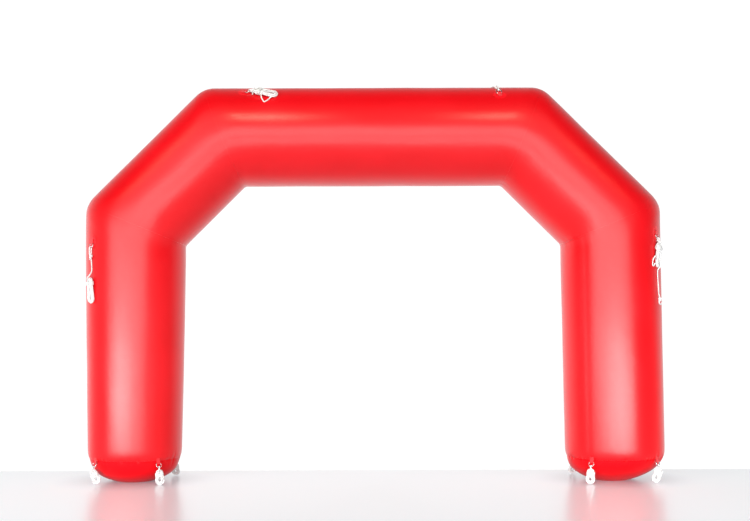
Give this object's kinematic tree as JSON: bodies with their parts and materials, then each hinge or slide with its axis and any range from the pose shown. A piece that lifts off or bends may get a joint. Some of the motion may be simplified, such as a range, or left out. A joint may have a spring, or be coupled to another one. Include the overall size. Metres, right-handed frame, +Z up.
{
  "type": "inflatable arch",
  "caption": "Inflatable arch of mitred tubes on domed bases, with D-rings round its feet and guy ropes put away in hanks.",
  "frame": {"origin": "on the ground, at the middle of the arch's box without its ropes", "axes": "+X across the arch towards its right leg, -Y towards its front, +Z up"},
  "size_m": [5.0084, 0.86, 3.4202],
  "materials": {
    "pvc_skin": "satin red coated fabric with welded seams",
    "webbing": "red woven webbing, welded down",
    "steel": "welded wire D-rings",
    "rope": "white braided rope"
  },
  "bodies": {
    "root": {"base_left": "pvc_skin", "base_right": "pvc_skin", "beam": "pvc_skin", "diagonal_left": "pvc_skin", "diagonal_right": "pvc_skin", "end_leg_right": "rope", "hank_beam_left": "rope", "hank_beam_right": "rope", "hank_left_inner_front": "rope", "hank_left_inner_rear": "rope", "hank_left_outer_front": "rope", "hank_leg_left": "rope", "hank_leg_right": "rope", "hank_right_inner_front": "rope", "hank_right_inner_rear": "rope", "hank_right_outer_front": "rope", "leg_left": "pvc_skin", "leg_right": "pvc_skin", "loop_beam_left": "rope", "loop_leg_right": "rope", "patch_beam_left": "pvc_skin", "patch_beam_right": "pvc_skin", "patch_leg_left": "pvc_skin", "patch_leg_right": "pvc_skin", "ring_beam_left": "steel", "ring_beam_right": "steel", "ring_left_inner_front": "steel", "ring_left_inner_rear": "steel", "ring_left_outer_front": "steel", "ring_left_outer_rear": "steel", "ring_leg_left": "steel", "ring_leg_right": "steel", "ring_right_inner_front": "steel", "ring_right_inner_rear": "steel", "ring_right_outer_front": "steel", "ring_right_outer_rear": "steel", "rope_beam_right": "rope", "rope_leg_left": "rope", "strap_beam_left": "webbing", "strap_beam_right": "webbing", "strap_left_inner_front": "webbing", "strap_left_inner_rear": "webbing", "strap_left_outer_front": "webbing", "strap_left_outer_rear": "webbing", "strap_leg_left": "webbing", "strap_leg_right": "webbing", "strap_right_inner_front": "webbing", "strap_right_inner_rear": "webbing", "strap_right_outer_front": "webbing", "strap_right_outer_rear": "webbing", "tie_beam_left": "rope", "tie_left_inner_front": "rope", "tie_left_inner_rear": "rope", "tie_left_outer_front": "rope", "tie_leg_right": "rope", "tie_right_inner_front": "rope", "tie_right_inner_rear": "rope", "tie_right_outer_front": "rope"}
  },
  "joints": []
}
